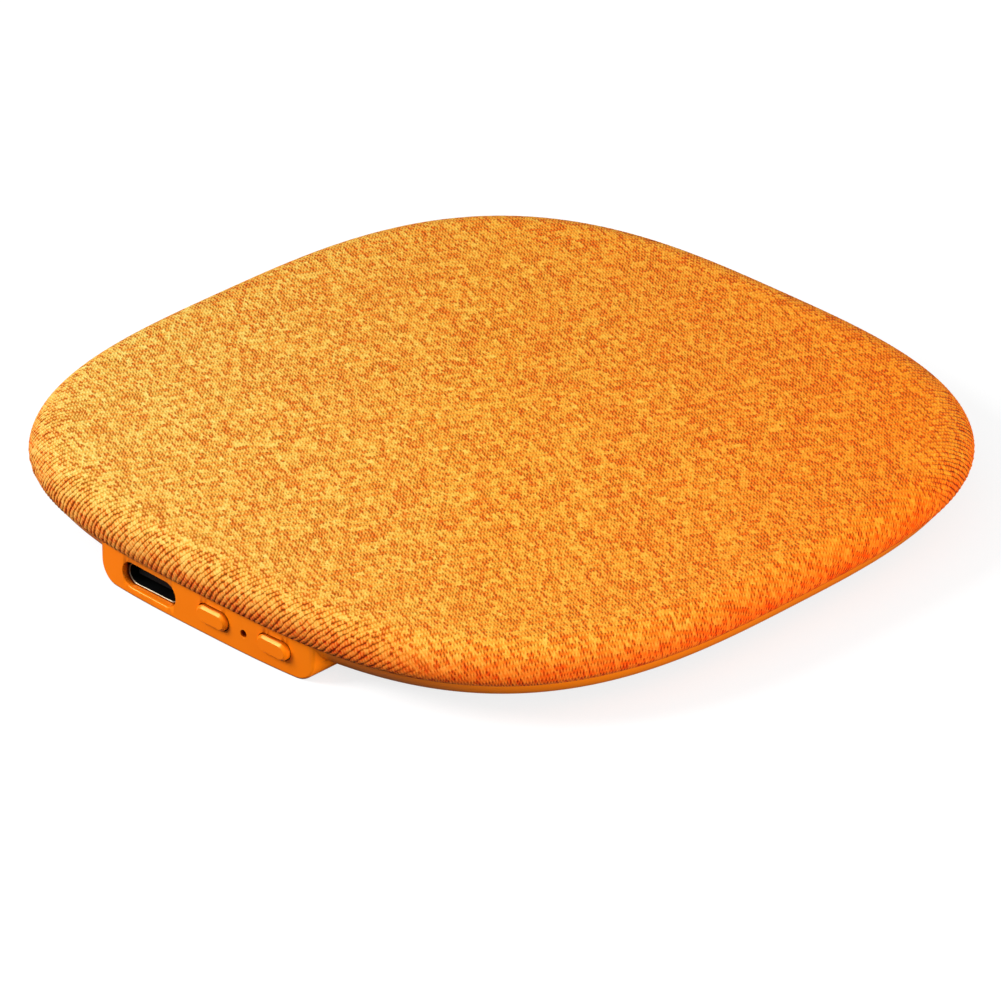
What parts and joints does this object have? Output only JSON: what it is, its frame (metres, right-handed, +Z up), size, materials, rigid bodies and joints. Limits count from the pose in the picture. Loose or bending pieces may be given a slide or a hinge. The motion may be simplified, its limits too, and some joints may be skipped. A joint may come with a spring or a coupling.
{
  "type": "pillow speaker",
  "caption": "Thin fabric-covered pillow speaker with a rounded square body and a shallow pod that carries a socket, a microphone hole and push buttons.",
  "frame": {"origin": "centre of the body's footprint, on the surface that the pod rests on", "axes": "+Z up through the fabric top, -Y out of the pod's face with the socket and buttons, +X to the right of that face"},
  "size_m": [0.103, 0.103, 0.0102],
  "materials": {
    "orange_plastic": "satin moulded",
    "knit_fabric": "heathered fine knit",
    "dark_plastic": "moulded",
    "light_plastic": "moulded",
    "foam": "open cell foam",
    "soft_rubber": "matte",
    "bright_steel": "bright drawn",
    "plated_steel": "nickel plated",
    "board": "solder mask",
    "lead_plastic": "insulated wire",
    "tape": "adhesive tape",
    "pouch": "laminated foil",
    "copper": "enamelled wire",
    "cone_paper": "formed film"
  },
  "bodies": {
    "housing": {"base_housing": "orange_plastic", "top_cover": "dark_plastic", "foam_pad": "foam", "fabric_cover": "knit_fabric", "switch_up": "dark_plastic", "switch_down": "dark_plastic", "microphone_boot": "soft_rubber", "microphone_capsule": "bright_steel", "circuit_board": "board", "usb_shell": "bright_steel", "usb_tongue": "dark_plastic", "radio_module": "bright_steel", "board_chips": "dark_plastic", "board_screws": "bright_steel", "battery_header": "light_plastic", "battery_plug": "light_plastic", "battery_leads": "lead_plastic", "battery_guard": "board", "battery_tape": "tape", "battery_cell": "pouch", "driver_frame": "dark_plastic", "driver_yoke": "plated_steel", "driver_magnet": "plated_steel", "driver_pole_plate": "plated_steel", "driver_gasket": "foam", "driver_leads": "lead_plastic", "driver_screws": "bright_steel"},
    "button_up": {"button_up": "orange_plastic", "switch_up_plunger": "light_plastic"},
    "button_down": {"button_down": "orange_plastic", "switch_down_plunger": "light_plastic"},
    "driver": {"driver_voice_coil": "copper", "driver_cone": "cone_paper", "driver_surround": "soft_rubber"}
  },
  "joints": [
    {"name": "button_up_press", "type": "slide", "parent": "housing", "child": "button_up", "axis": [0, 1, 0], "range_m": [0, 0.00025], "stiffness_N_per_m": 2000},
    {"name": "button_down_press", "type": "slide", "parent": "housing", "child": "button_down", "axis": [0, 1, 0], "range_m": [0, 0.00025], "stiffness_N_per_m": 2000},
    {"name": "cone_travel", "type": "slide", "parent": "housing", "child": "driver", "axis": [0, 0, 1], "range_m": [-0.0003, 0.0003], "stiffness_N_per_m": 2000, "deforming": ["driver_surround"]}
  ]
}
